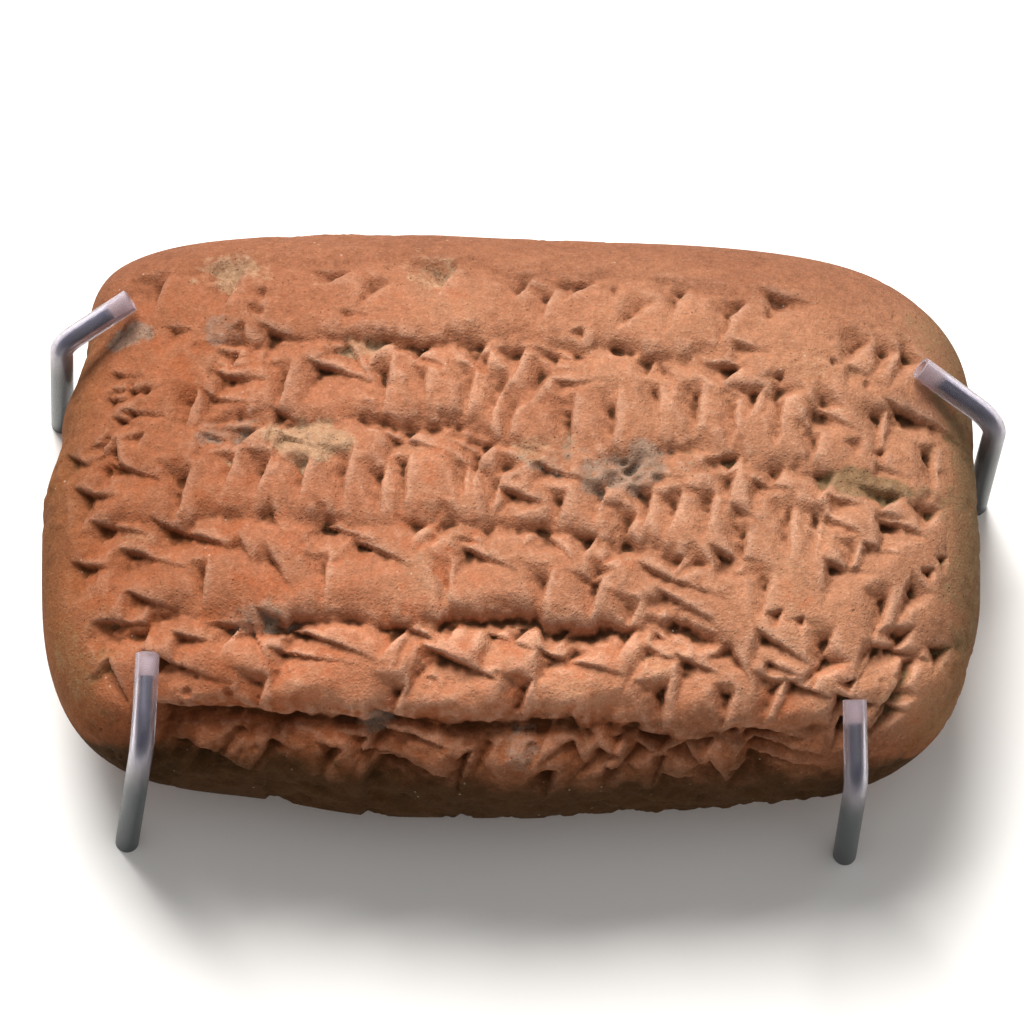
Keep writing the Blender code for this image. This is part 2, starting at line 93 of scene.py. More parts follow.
# each row: height of its ledge, its bow, where the bow is highest, the ledge's two ends, how deep it
# is cut, then its lines: how far below the ledge, and words, each at the place the last number gives
# or an advance on from the word before it
FACE_ROWS = (
    (16.9, 0.0026, -10.0, (-34.0, 22.0), 0.3, (
        (0.9, "-28.8 stem -22.8 stem -14.8 brow -7 stem -1.2 head 3.2 brow 6.6 nick 11 head"
              " 15.5 head 20.2 flat"),
        (2.8, "-19.6 nick -11.6 rise 1.4 post 8 rise 10.7 line 14.8 line 24.7 rise 27.2 rise 29.4 rise"),
        (5.4, "-26 dash -21 nick -12 dash 4 nick 17 dash 25.5 dash"),
    )),
    (10.2, 0.0028, -8.0, (-24.0, 17.0), 0.7, (
        (0.7, "-22.5 head -17.3 flat -12.2 brow -8.4 head -4.3 head -1.2 head 1.8 head 5 dash 8.8 head"
              " 14.2 brow 19 nick 31 long"),
        (2.2, "-30 bars3 -21.6 bars3 -13.4 fall -6.4 dash -3.4 post 0.8 rise 4 bars3 10.6 fall 16.3 head"
              " 18.8 rise 22 rise 26.5 post"),
        (3.9, "-28.4 bars2 -21.5 bar -18.4 line -12.6 long -10.9 line -7.9 line -4.6 line -2 line 9.4 line"
              " 12.2 line 15 line 18.6 line 22.9 flat 24.8 nick 26.8 nick 30.5 line"),
        (5.4, "-30 dash -25.5 line -22 bar -1 line 2.4 line 6 line 21 post 28 dash"),
    )),
    (3.4, 0.0018, -18.0, (-26.0, 32.0), 0.7, (
        (0.7, "-32 nick -29 nick -22.3 brow -17 flat -9.2 head -4 brow 7.8 head 14 brow 17.7 head 21.2 brow"
              " 26.4 brow 30.3 head"),
        (2.4, "-33.5 bar -30.5 fall -21.8 bar -16.3 bar -8 bar -4.2 post -1.7 rise 3 bar 6.4 rise"
              " 11 dash 14.8 post 19 bar 24 dash 27.6 dash"),
        (4.3, "-29 slip -22.4 post -19.6 post -17 post -13.8 line -9.3 line -4.9 line -2.7 line 4.8 post"
              " 8.2 post 10.6 post 12.9 post 16.6 dash 18.9 line 21.2 post 24 bar 28 flat 31.8 nick"),
        (5.9, "-32 flat -25.5 line -11 line 0.5 bar 2.4 line 7 post 15.6 line 23.4 post 27 bar 30.6 nick"),
    )),
    (-4.7, 0.0018, -15.0, (-34.0, 20.0), 0.75, (
        (0.5, "-29.8 long -18.6 fall -15.2 rise -8.4 head -5.8 rise 4.1 head 7.8 rise 10.4 head 12.6 rise"
              " 15.8 flat 23.9 flat 29.6 rise"),
        (1.8, "-24 long -13.3 bar -2.8 bars3 1.9 fall 17.6 line 26.6 post"),
        (3.5, "-32.5 flat -27 long -19.5 falls -10.2 slip -2.8 bar 5.2 rise 11.4 slip 18.3 nick"
              " 20.4 nick 27.9 head 32.6 head"),
        (5.2, "-24 line -15.2 line -5.8 line 1.4 line 4.6 post 11.8 slip 22 line 27.6 bar"),
        (6.4, "-28 bar 7.4 post 19 bar 30 line"),
    )),
    (-12.5, 0.0006, 0.0, (-33.0, 16.0), 1.05, (
        (0.6, "-29 long -22 head -17.3 bar -10.4 brow -6 head -1.6 brow 2.4 head 6.6 head 12.8 flat 22.8 rise"
              " 29.2 long"),
        (2.1, "-23.5 bar -19.6 fall -14.6 long -6.6 bar -1 bar 3.6 rise 8.8 rise 11.2 bars2 15.6 fall"
              " 19.4 dash 24.6 nick"),
        (3.8, "-31.5 fall -25 long -15 long -5 long 4.6 long 13.6 flat 18 post 21.6 bar 30 rise"),
        (5.6, "-20 post -9.6 post -0.4 post 9.4 post 15 line 25.6 flat 29.4 rise"),
    )),
    (-19.8, 0.0004, 0.0, (-29.0, 27.0), 1.5, (
        (0.7, "-24.6 long -18 long -7.6 long 0.8 stem 3.8 fall 6.8 head 9.8 head 13.2 head 19.6 long"
              " 26.4 flat"),
        (2.4, "-22 rise -17.8 long -12 post -7.6 long -3 post 3.4 fall 5.8 rise 8.6 rise 12 fall"
              " 20 long 27.6 fall"),
        (4.2, "-25 bar -19 rise -14 post -9.6 bar -4.6 line 7.6 dash 10 line 14 fall 20.4 long"),
        (5.8, "-22 long -7 long 2 line 12 dash 18 bar"),
    )),
)
BACK_ROWS = (
    (18.6, 0.0012, 0.0, (-20.0, 20.0), 0.1, (
        (1.0, "-18 bar -12 head -9 head -4 bars2 2 post 4.6 post 9 brow 15 long"),
    )),
    (13.6, 0.0008, 0.0, (-20.0, 20.0), 0.1, (
        (1.0, "-16 long -9 post -5 bars2 0 head 5 flat 9.6 fall 14 bar"),
    )),
)

# a stroke's deepest spot: how far along it, and how far off its middle line for one across or down
APEX_ALONG = 0.24
APEX_LEAN = 0.62
APEX_SIDE = 0.66
# how strokes, ledge walls and the slopes below them curve down from where they start
STROKE_CURVE, WALL_CURVE, SLOPE_CURVE = 1.6, 1.8, 1.5
# no press goes deeper; where a stroke crosses a ledge, this share of the shallower one is added;
# and from this depth on a press has crumbled walls
DEEPEST = 2.2
CROSSING_SHARE = 0.45
FULLY_BROKEN = 0.8
# how far a straying stroke can lie from its own place
STRAY = 3.5
# where rows sag below their ruled lines: middle, half length, half height, drop
SAGS = (
    (4.5, 3.4, 8.0, 4.5, 1.9), (27.0, 3.4, 6.0, 4.5, 0.9), (17.0, -4.7, 8.0, 4.5, 1.7),
    (23.0, -12.5, 8.0, 4.5, 2.0), (13.0, -19.8, 13.0, 4.0, 1.9), (-30.0, -19.8, 7.0, 4.0, 1.3),
    (-12.0, -19.8, 10.0, 4.0, 0.6),
)
# ledges jog up or down, and change their depth, by how much and over what length
LEDGE_JOG, JOG_LENGTH = 1.2, 3.7
LEDGE_CHANGE, CHANGE_LENGTH = 0.9, 4.6
LEDGE_EVENNESS = 0.75
# how wide the wall above a ledge is, and by how much more where it is cut deeper; the slope below
WALL_WIDTH, WALL_PER_CUT, SLOPE_WIDTH = 1.3, 0.9, 2.4
# a finer slit along the ledge's own line, here and there
SLIT_DEPTH, SLIT_HALF_WIDTH, SLIT_AMOUNT = 0.7, 0.8, 0.35
# how a ledge fades out at its ends
LEDGE_LEAST, LEDGE_FADE = 0.2, 5.0
# random draws: a ledge's jogs take this one plus its height, its changes of depth one so much on
JOG_SEED, CHANGE_SEED_STEP = 100.0, 50

# unevenness in layers of lumps: how much, over what length, which random draw
SWAY_ALONG = ((0.5, 3.6, 1), (0.16, 1.1, 2), (0.1, 0.45, 3))
SWAY_ACROSS = ((0.5, 3.6, 11), (0.16, 1.1, 12), (0.1, 0.45, 13))
LEDGE_SWAY = ((0.7, 5.0, 40), (0.3, 1.5, 41))
LEDGE_UNEVENNESS = ((0.7, 3.2, 42),)
SLIT_CHANGE = ((2.5, 3.6, 43),)
WEAR_CHANGE = ((2.0, 6.0, 50),)
BROKEN_WALLS = ((0.34, 0.9, 51), (0.26, 0.4, 52))
CRUMBS = ((0.3, 0.6, 53), (0.2, 1.3, 54))
HAND_SHAPING = ((0.50, 6.0, 60), (0.26, 2.4, 61))
GRAIN = ((0.22, 1.0, 62), (0.14, 0.5, 63))
GRAIN_CHANGE = ((1.6, 7.0, 64),)
RAGGED_DEPOSITS = ((1.1, 1.9, 70), (0.7, 0.7, 71))
RAGGED_LOWER_EDGE = ((0.6, 2.2, 81), (0.6, 1.1, 82), (0.25, 0.5, 83))

# wear blurs the presses by this spread, at most by this share; how worn the least worn spot is
WEAR_SPREAD, MOST_WEAR, LEAST_WORN = 0.18, 0.4, 0.15
# the clay sinks round what is pressed into it: how much, over what spread
SINKS = ((0.24, 0.6), (0.32, 1.4))
# presses fade out towards the rims of a side, from how near they are gone and over what length;
# pits do so over a shorter one
PRESS_FADE_START, PRESS_FADE = 0.3, 2.2
RIM_FADE = 1.2
# the clay stands this far above what is pressed, the whole surface then drops back into the
# solid, and no spot stands further out of it than the last number
SWELL, DROP, MOST_PROUD = 0.38, 0.35, 0.02
# how strong the grain is on the whole, and at least
GRAIN_AMOUNT, LEAST_GRAIN = 0.55, 0.25
# the back changes from its rim inwards over this much, and deposits from the rim end sooner
BACK_BAND = 14.0
DEPOSIT_FADE = 4.0
# how many half lengths out a deposit ends, before its edge is made ragged
DEPOSIT_REACH = 1.6
# how widely a side's hollows are told from its ridges, for narrow and for broad ones
HOLLOW_SPREAD, DEEP_SPREAD = 0.45, 1.6
# random values repeat after so many cells each way, counted from one well outside the clay
LATTICE, LATTICE_START = 32, 512.0
STEPS, STEP_STEEPNESS = 64, 6.0
# a blur reaches out to so many times its spread
BLUR_REACH = 3.0
# small holes in the face: place, radius, depth
PITS = (
    (-19.7, 12.8, 0.45, 0.7), (-19.2, 12.5, 0.35, 0.6), (-24.5, -17.8, 0.35, 0.5),
    (-24.0, -18.7, 0.3, 0.4), (-21.5, -18.0, 0.35, 0.5), (-25.2, -18.5, 0.25, 0.4),
    (29.0, -17.5, 0.4, 0.6), (8.2, 1.4, 0.5, 0.8), (7.8, 2.2, 0.4, 0.7), (8.6, 0.4, 0.4, 0.7),
    (-15.6, 2.0, 0.3, 0.4), (-17.0, 1.4, 0.3, 0.4), (-29.6, 7.4, 0.4, 0.5), (-28.2, 6.6, 0.4, 0.5),
    (-31.2, 2.8, 0.4, 0.5), (-31.0, 0.4, 0.35, 0.5), (23.5, 9.4, 0.35, 0.5), (26.2, 8.2, 0.35, 0.5),
)
# what share of its depth a pit gets, how many radii wide its dip starts, and how it curves
PIT_SHARE, PIT_EDGE, PIT_CURVE = 0.75, 1.2, 0.8
# how many smaller ones are scattered on each side, over what half length and half width, and how
# big they are
SCATTERED = 130
SCATTER_SEED = 20
SCATTER_REACH = (37.0, 25.5)
SCATTER_RADIUS = (0.16, 0.42)
SCATTER_DEPTH = (0.1, 0.3)
# lobes along the lower edge, each with a short left flank and a long right one: place, length, depth
LOWER_DENTS = (
    (-25.5, 4.5, 0.30), (-17.6, 5.0, 0.50), (-10.4, 5.0, 0.50),
    (-3.4, 4.0, 0.20), (8.4, 5.5, 0.35), (17.0, 6.0, 0.30),
)
LOBE_FLANK = 0.8
# how far below the middle the lower edge begins, and over what height it is then full
LOWER_EDGE, LOWER_EDGE_BLEND = 17.0, 3.0
# what has settled on the face: middle, half length, half height, amount
DEPOSITS = {
    "sandy": (
        (-11.0, 9.5, 1.6, 0.9, 0.8), (-16.0, 1.5, 3.8, 1.6, 1.0), (2.2, 1.4, 2.6, 1.1, 0.65),
        (-28.5, -5.5, 1.4, 0.8, 0.6), (-21.6, 16.6, 2.2, 2.0, 0.8), (-6.0, 16.2, 2.4, 2.4, 0.65),
        (10.0, -15.5, 1.6, 1.0, 0.5), (22.5, 9.0, 2.4, 1.4, 0.5), (-14.0, 14.5, 1.6, 1.0, 0.4),
    ),
    "grey": (
        (-30.5, 11.8, 2.4, 0.9, 1.0), (-22.5, 11.0, 2.2, 0.9, 0.7), (-22.5, 2.4, 2.8, 1.1, 0.7),
        (7.6, -0.1, 4.6, 1.9, 1.0), (19.0, -12.8, 1.4, 1.0, 0.7), (0.8, -22.4, 1.4, 2.0, 0.7),
        (-10.2, -20.8, 1.2, 1.1, 0.8), (-18.5, -12.2, 1.9, 1.4, 0.8), (-24.0, -17.9, 1.8, 1.3, 0.3),
    ),
    # olive patches: deposit, and at the rims painted greenish bounce light
    "olive_and_bounce": (
        (-23.6, 16.5, 1.8, 1.8, 0.4), (26.8, -0.4, 3.8, 1.1, 1.3), (-35.0, 3.0, 2.6, 9.0, 0.4),
        (35.5, 2.0, 3.6, 14.0, 0.8), (-4.0, 17.5, 1.6, 1.6, 0.3), (34.0, 13.0, 4.0, 4.0, 0.7),
        (-34.0, -15.0, 4.0, 5.0, 0.6), (30.5, -18.0, 5.0, 3.0, 0.6), (13.5, 0.8, 3.0, 1.0, 0.5),
        (-36.5, 14.0, 3.0, 3.0, 0.5),
    ),
}

# ---- pins: foot, elbow, tip, bend radius; heights from the slab's middle plane ----
PINS = {
    "top_left": ((-34.1, 12.2), (-33.95, 10.7, 6.7), (-28.9, 13.5, 8.85), 1.8),
    "top_right": ((36.3, 7.0), (36.0, 6.3, 6.1), (30.0, 9.2, 9.35), 3.4),
    "bottom_left": ((-28.3, -22.1), (-27.15, -21.9, 8.9), (-26.95, -15.3, 9.5), 2.6),
    "bottom_right": ((25.65, -22.0), (24.85, -22.9, 6.4), (24.6, -17.4, 8.8), 2.4),
}
WIRE_RADIUS, BORE_RADIUS, SLEEVE_RADIUS = 0.47, 0.62, 0.88
# how much longer a sleeve is than its wire, and over what length its milky end begins
TIP_OVERHANG = 1.7
MILKY_BLEND = 0.4
WIRE_SIDES, SLEEVE_SIDES = 24, 36
LEG_RINGS, BEND_RINGS, ARM_RINGS = 6, 14, 16
# how far below the floor a leg starts before it is cut off
LEG_SPARE = 2.0
# how near the points of two rings lie where they are one, in metres
SAME_TUBE_PLACE = 1e-7
SHARP_ANGLE = math.radians(40.0)


# ---------------------------------------------------------------- shape of the clay

def eased(share):
    """A share from 0 to 1 that starts and ends gently."""
    return share * share * (3.0 - 2.0 * share)


def outline_ratio(x, y):
    """How far the hand-patted outline runs in or out at a plan place."""
    count = len(EDGE_WOBBLE)
    place = (np.arctan2(y / HALF_WIDTH, x / HALF_LENGTH) % math.tau) / math.tau * count
    index = np.floor(place).astype(int)
    share = eased(place - index)
    return EDGE_WOBBLE[index % count] * (1.0 - share) + EDGE_WOBBLE[(index + 1) % count] * share


def slab_surface(x, y, z):
    """Where rays from the slab's middle leave the clay, and the clay's outward direction there."""
    ratio = outline_ratio(x, y)
    halves = (HALF_LENGTH * ratio, HALF_WIDTH * ratio, HALF_THICKNESS)
    powers = (LENGTH_POWER, WIDTH_POWER, DEPTH_POWER)
    shares = [np.abs(value) / half for value, half in zip((x, y, z), halves)]
    near = np.zeros_like(x)
    far = 2.0 / np.maximum(np.maximum(shares[0], shares[1]), shares[2])
    for _ in range(HALVINGS):
        reach = (near + far) / 2.0
        filled = sum((reach * share) ** power for share, power in zip(shares, powers))
        near = np.where(filled < 1.0, reach, near)
        far = np.where(filled < 1.0, far, reach)
    spots = np.stack((x, y, z), -1) * far[..., None]
    out = np.stack([
        np.sign(value) * power * (far * share) ** (power - 1.0) / half
        for value, share, half, power in zip((x, y, z), shares, halves, powers)
    ], -1)
    return spots, out / np.linalg.norm(out, axis=-1, keepdims=True)


def walk_table(half, power):
    """Distance walked over the clay from the middle of the face, with its plan and height."""
    share = np.linspace(0.0, 1.0, WALK_SAMPLES)
    plan = half * (1.0 - (1.0 - share) ** 2)
    height = HALF_THICKNESS * np.maximum(1.0 - (plan / half) ** power, 0.0) ** (1.0 / DEPTH_POWER)
    walked = np.concatenate(([0.0], np.cumsum(np.hypot(np.diff(plan), np.diff(height)))))
    return walked, plan, height


LENGTH_WALK = walk_table(HALF_LENGTH, LENGTH_POWER)
WIDTH_WALK = walk_table(HALF_WIDTH, WIDTH_POWER)
WALK_X, WALK_Y = LENGTH_WALK[0][-1], WIDTH_WALK[0][-1]


def face_places(x, y, side):
    """The clay's points and outward directions at walked distances x, y on the face or back."""
    plan_x = np.sign(x) * np.interp(np.abs(x), LENGTH_WALK[0], LENGTH_WALK[1])
    plan_y = np.sign(y) * np.interp(np.abs(y), WIDTH_WALK[0], WIDTH_WALK[1])
    height = np.interp(np.abs(x), LENGTH_WALK[0], LENGTH_WALK[2])
    height = height * np.interp(np.abs(y), WIDTH_WALK[0], WIDTH_WALK[2]) / HALF_THICKNESS
    return slab_surface(plan_x, side * plan_y, side * height)


def strokes(rows):
    """Every stroke of some rows as (x, y, angle, length, width, depth)."""
    rng = random.Random(STROKE_SEED)
    marks = []
    for ledge, bow, crest, _, cut, lines in rows:
        for drop, text in lines:
            middle = 0.0
            for word in text.split():
                if word not in GROUPS:
                    middle = float(word)
                    continue
                advance, group = GROUPS[word]
                line = ledge - bow * (middle - crest) ** 2 - drop
                for dx, dy, angle, length, width, depth in group:
                    grown = rng.uniform(*SIZE_SPREAD)
                    x = middle + dx + rng.uniform(-PLACE_SPREAD, PLACE_SPREAD)
                    y = line + dy + rng.uniform(-PLACE_SPREAD, PLACE_SPREAD)
                    turn = math.radians(angle + rng.uniform(-TURN_SPREAD, TURN_SPREAD))
                    pressed = depth * grown * (DEPTH_LEAST + DEPTH_PER_CUT * cut)
                    marks.append((x, y, turn, length * grown, width * grown, pressed))
                middle += advance
    return marks


def lumps(points, cell, seed):
    """Smooth random values from -0.5 to 0.5 that change over about one cell."""
    values = np.random.RandomState(seed).rand(LATTICE, LATTICE, LATTICE)
    place = np.asarray(points) / cell + LATTICE_START
    low = np.floor(place).astype(int)
    share = eased(place - low)
    total = 0.0
    for i in (0, 1):
        for j in (0, 1):
            for k in (0, 1):
                weight = (share[..., 0] if i else 1.0 - share[..., 0])
                weight = weight * (share[..., 1] if j else 1.0 - share[..., 1])
                weight = weight * (share[..., 2] if k else 1.0 - share[..., 2])
                corner = tuple((low[..., n] + step) % LATTICE for n, step in enumerate((i, j, k)))
                total = total + weight * values[corner]
    return total - 0.5


def layered(points, layers):
    """Lumps of several sizes added up."""
    return sum(most * lumps(points, cell, seed) for most, cell, seed in layers)


def stepped(x, cell, seed):
    """Random values from -0.5 to 0.5 that hold for about one cell and then change abruptly."""
    values = np.random.RandomState(seed).rand(STEPS)
    place = x / cell + STEPS / 2.0
    low = np.floor(place).astype(int)
    share = eased(np.clip((place - low - 0.5) * STEP_STEEPNESS + 0.5, 0.0, 1.0))
    return values[low % STEPS] * (1.0 - share) + values[(low + 1) % STEPS] * share - 0.5


def softened(field, spread):
    """A field blurred over a spread in millimetres."""
    reach = max(1, int(round(BLUR_REACH * spread / CLAY_CELL)))
    offsets = np.arange(-reach, reach + 1)
    weights = np.exp(-0.5 * (offsets * CLAY_CELL / spread) ** 2)
    weights /= weights.sum()
    for axis in (0, 1):
        padded = np.pad(field, [(reach, reach) if n == axis else (0, 0) for n in (0, 1)], "edge")
        field = sum(
            weight * np.take(padded, range(shift, shift + field.shape[axis]), axis=axis)
            for shift, weight in enumerate(weights)
        )
    return field


class Ground:
    """One side of the tablet, laid out flat as a sheet of cells."""

    def __init__(self, side, across, along):
        self.side = side
        self.x, self.y = np.meshgrid(
            np.linspace(-WALK_X, WALK_X, across + 1), np.linspace(-WALK_Y, WALK_Y, along + 1)
        )
        self.spots, self.out = face_places(self.x, self.y, side)
        self.plan_y = side * self.y
        self.flat = np.stack((self.x, self.plan_y, np.zeros_like(self.x)), -1)
        self.warp_x = self.x + layered(self.flat, SWAY_ALONG)
        self.warp_y = self.y + layered(self.flat, SWAY_ACROSS)
        for x, y, half_length, half_height, drop in SAGS if side > 0 else ():
            away = ((self.x - x) / half_length) ** 2 + ((self.y - y + drop) / half_height) ** 2
            self.warp_y += drop * np.exp(-away)
        self.pressed = np.zeros_like(self.x)

    def window(self, x, y, reach):
        """The part of the sheet within a reach of a place."""
        columns = np.searchsorted(self.x[0], (x - reach, x + reach))
        rows = np.searchsorted(self.y[:, 0], (y - reach, y + reach))
        return slice(rows[0], rows[1]), slice(columns[0], columns[1])

    def press(self, mark):
        """One stroke: three faces that fall to a point near its head, rounded where they start."""
        x, y, turn, length, width, depth = mark
        cosine, sine = math.cos(turn), math.sin(turn)
        reach = length / 2.0 + width + STRAY
        part = self.window(x + cosine * length / 2.0, y + sine * length / 2.0, reach)
        along = (self.warp_x[part] - x) * cosine + (self.warp_y[part] - y) * sine
        aside = (self.warp_y[part] - y) * cosine - (self.warp_x[part] - x) * sine
        deep_along = APEX_ALONG * length
        lean = APEX_LEAN * cosine - APEX_SIDE * sine
        deep_aside = max(-APEX_SIDE, min(APEX_SIDE, lean)) * width / 2.0
        slant = math.hypot(length, width / 2.0)
        nx, ny = width / 2.0 / slant, length / slant
        edge = width / 2.0 * ny
        upper = (edge - along * nx - aside * ny) / (edge - deep_along * nx - deep_aside * ny)
        lower = (edge - along * nx + aside * ny) / (edge - deep_along * nx + deep_aside * ny)
        share = np.minimum(np.minimum(along / deep_along, upper), lower)
        dent = depth * np.clip(share, 0.0, 1.0) ** STROKE_CURVE
        self.pressed[part] = np.maximum(self.pressed[part], dent)

    def ledge(self, row):
        """How far the clay is pushed in along a row's ruled ledge."""
        height, bow, crest, ends, cut = row[:5]
        seed = int(JOG_SEED + height)
        sway = layered(self.flat, LEDGE_SWAY)
        sway += LEDGE_JOG * stepped(self.warp_x, JOG_LENGTH, seed)
        above = self.warp_y + sway - (height - bow * (self.warp_x - crest) ** 2)
        uneven = layered(self.flat + height, LEDGE_UNEVENNESS)
        uneven += LEDGE_CHANGE * stepped(self.warp_x, CHANGE_LENGTH, seed + CHANGE_SEED_STEP)
        fade = np.minimum(self.x - ends[0], ends[1] - self.x)
        strength = cut * (LEDGE_EVENNESS + uneven) * np.clip(LEDGE_LEAST + fade / LEDGE_FADE, 0.0, 1.0)
        wall = np.clip(1.0 - above / (WALL_WIDTH + WALL_PER_CUT * cut), 0.0, 1.0) ** WALL_CURVE
        slope = np.clip(1.0 + above / SLOPE_WIDTH, 0.0, 1.0) ** SLOPE_CURVE
        slit = np.clip(layered(self.flat + height, SLIT_CHANGE) + SLIT_AMOUNT, 0.0, 1.0)
        slit = SLIT_DEPTH * slit * np.clip(1.0 - np.abs(above) / SLIT_HALF_WIDTH, 0.0, 1.0)
        return strength * (np.where(above > 0.0, wall, slope) + slit)


def scattered_pits(side):
    """Small pits where grains have dropped out, as (x, y, radius, depth)."""
    rng = random.Random(SCATTER_SEED + side)
    reach_x, reach_y = SCATTER_REACH
    pits = []
    for _ in range(SCATTERED):
        x, y = rng.uniform(-reach_x, reach_x), rng.uniform(-reach_y, reach_y)
        pits.append((x, y, rng.uniform(*SCATTER_RADIUS), rng.uniform(*SCATTER_DEPTH)))
    return pits


def past_rim(ground):
    """How far past the rim a place lies: nothing on the face, more and more in from the back's rim."""
    if ground.side > 0:
        return np.zeros_like(ground.x)
    inward = np.minimum(WALK_X - np.abs(ground.x), WALK_Y - np.abs(ground.y))
    return np.minimum(inward, BACK_BAND)


def settled(ground, patches):
    """How much of one deposit lies at each place, ragged at its edges."""
    amount = np.zeros_like(ground.x)
    ragged = layered(ground.flat, RAGGED_DEPOSITS)
    for x, y, half_length, half_height, most in patches:
        away = np.hypot((ground.x - x) / half_length, (ground.plan_y - y) / half_height)
        amount = np.maximum(amount, most * np.clip(DEPOSIT_REACH - away + ragged, 0.0, 1.0))
    return amount * np.clip(1.0 - past_rim(ground) / DEPOSIT_FADE, 0.0, 1.0)


def relief(ground, rows):
    """How far the clay stands out or in over one side."""
    for mark in strokes(rows):
        ground.press(mark)
    ledges = sum(ground.ledge(row) for row in rows)
    deeper, shallower = np.maximum(ground.pressed, ledges), np.minimum(ground.pressed, ledges)
    pushed = deeper + CROSSING_SHARE * shallower
    pushed = DEEPEST * np.tanh(pushed / DEEPEST)
    edge = np.minimum(WALK_X - np.abs(ground.x), WALK_Y - np.abs(ground.y))
    inside = np.clip((edge - PRESS_FADE_START) / PRESS_FADE, 0.0, 1.0)
    pushed = pushed * eased(inside)
    worn = np.clip(0.5 + layered(ground.flat, WEAR_CHANGE), LEAST_WORN, 1.0)
    shape = -(pushed * (1.0 - MOST_WEAR * worn) + softened(pushed, WEAR_SPREAD) * MOST_WEAR * worn)
    shape -= sum(amount * softened(pushed, spread) for amount, spread in SINKS)
    for x, y, radius, depth in (*(PITS if ground.side > 0 else ()), *scattered_pits(ground.side)):
        part = ground.window(x, y, 2.0 * radius + 1.0)
        away = np.hypot(ground.warp_x[part] - x, ground.warp_y[part] - y) / radius
        shape[part] -= PIT_SHARE * depth * np.clip(PIT_EDGE - away, 0.0, 1.0) ** PIT_CURVE
    shape = shape * np.clip(edge / RIM_FADE, 0.0, 1.0) + SWELL
    broken = np.clip(pushed / FULLY_BROKEN, 0.0, 1.0)
    shape += broken * layered(ground.flat, BROKEN_WALLS)
    crumbs = sum(settled(ground, patches) for patches in DEPOSITS.values())
    shape += np.clip(crumbs, 0.0, 1.0) * layered(ground.flat, CRUMBS) * inside
    spots = ground.spots
    low = np.clip((-spots[..., 1] - LOWER_EDGE) / LOWER_EDGE_BLEND, 0.0, 1.0)
    for x, length, depth in LOWER_DENTS:
        past = spots[..., 0] - x
        share = np.clip(np.minimum(1.0 - past / length, 1.0 + past / LOBE_FLANK), 0.0, 1.0)
        shape -= low * depth * eased(share)
    shape -= low * layered(spots, RAGGED_LOWER_EDGE)
    rough = layered(spots, HAND_SHAPING)
    grain = np.clip(GRAIN_AMOUNT + layered(spots, GRAIN_CHANGE), LEAST_GRAIN, 1.0)
    grain = grain * (1.0 - past_rim(ground) / (2.0 * BACK_BAND))
    rough += grain * layered(spots, GRAIN)
    shape = shape + rough - DROP
    return np.minimum(shape, MOST_PROUD)


def lay_grid(name, across, along):
    """A plain sheet of cells, from -1 to 1 both ways, ready to be shaped."""
    bpy.ops.mesh.primitive_grid_add(x_subdivisions=across, y_subdivisions=along, size=2.0)
    sheet = bpy.context.object
    sheet.name = name
    return sheet


def only(*objects):
    """Select these objects alone, the last one active."""
    bpy.ops.object.select_all(action="DESELECT")
    for obj in objects:
        obj.select_set(True)
        bpy.context.view_layer.objects.active = obj


def store(obj, name, values):
    """Keep a value per vertex under a name that a material can read."""
    layer = obj.data.attributes.new(name, "FLOAT", "POINT")
    layer.data.foreach_set("value", np.ascontiguousarray(values, np.float32))


def build_tablet():
    """Both sides of the tablet, pressed, joined at the rim and thinned."""
    across, along = int(2.0 * WALK_X / CLAY_CELL), int(2.0 * WALK_Y / CLAY_CELL)
    sheets = []
    for side, rows in ((1, FACE_ROWS), (-1, BACK_ROWS)):
        sheet = lay_grid("clay_side", across, along)
        count = len(sheet.data.vertices)
        place = np.zeros(count * 3, np.float32)
        sheet.data.vertices.foreach_get("co", place)
        place = place.reshape(-1, 3)
        column = np.rint((place[:, 0] + 1.0) / 2.0 * across).astype(int)
        row = np.rint((place[:, 1] + 1.0) / 2.0 * along).astype(int)
        ground = Ground(side, across, along)
        shape = relief(ground, rows)
        spots = ground.spots + ground.out * shape[..., None]
        spots = spots + SLAB_MIDDLE
        spots[..., 2] = np.maximum(spots[..., 2], 0.0)
        sheet.data.vertices.foreach_set("co", (spots[row, column] * MM).ravel())
        hollow = softened(shape, HOLLOW_SPREAD) - shape
        deep = softened(shape, DEEP_SPREAD) - shape
        store(sheet, "hollow", hollow[row, column])
        store(sheet, "deep", deep[row, column])
        store(sheet, "walk_x", ground.x[row, column])
        store(sheet, "walk_y", ground.plan_y[row, column])
        store(sheet, "past_rim", past_rim(ground)[row, column])
        for deposit, patches in DEPOSITS.items():
            store(sheet, deposit, settled(ground, patches)[row, column])
        sheets.append(sheet)
    only(*sheets)
    bpy.ops.object.join()
    tablet = bpy.context.object
    tablet.name = "clay_tablet"
    bpy.ops.object.mode_set(mode="EDIT")
    bpy.ops.mesh.select_all(action="SELECT")
    bpy.ops.mesh.remove_doubles(threshold=SAME_RIM_PLACE)
    bpy.ops.mesh.normals_make_consistent(inside=False)
    bpy.ops.object.mode_set(mode="OBJECT")
    thin = tablet.modifiers.new("thin", "DECIMATE")
    thin.ratio = CLAY_TRIANGLES / (2.0 * len(tablet.data.polygons))
    bpy.ops.object.modifier_apply(modifier="thin")
    bpy.ops.object.shade_smooth()
    return tablet


# ---------------------------------------------------------------- pins and sleeves

def pin_points(foot, elbow, tip):
    """A pin's three corners in the frame."""
    middle = Vector(SLAB_MIDDLE)
    standing = Vector((foot[0] + middle.x, foot[1] + middle.y, 0.0))
    return standing, Vector(elbow) + middle, Vector(tip) + middle


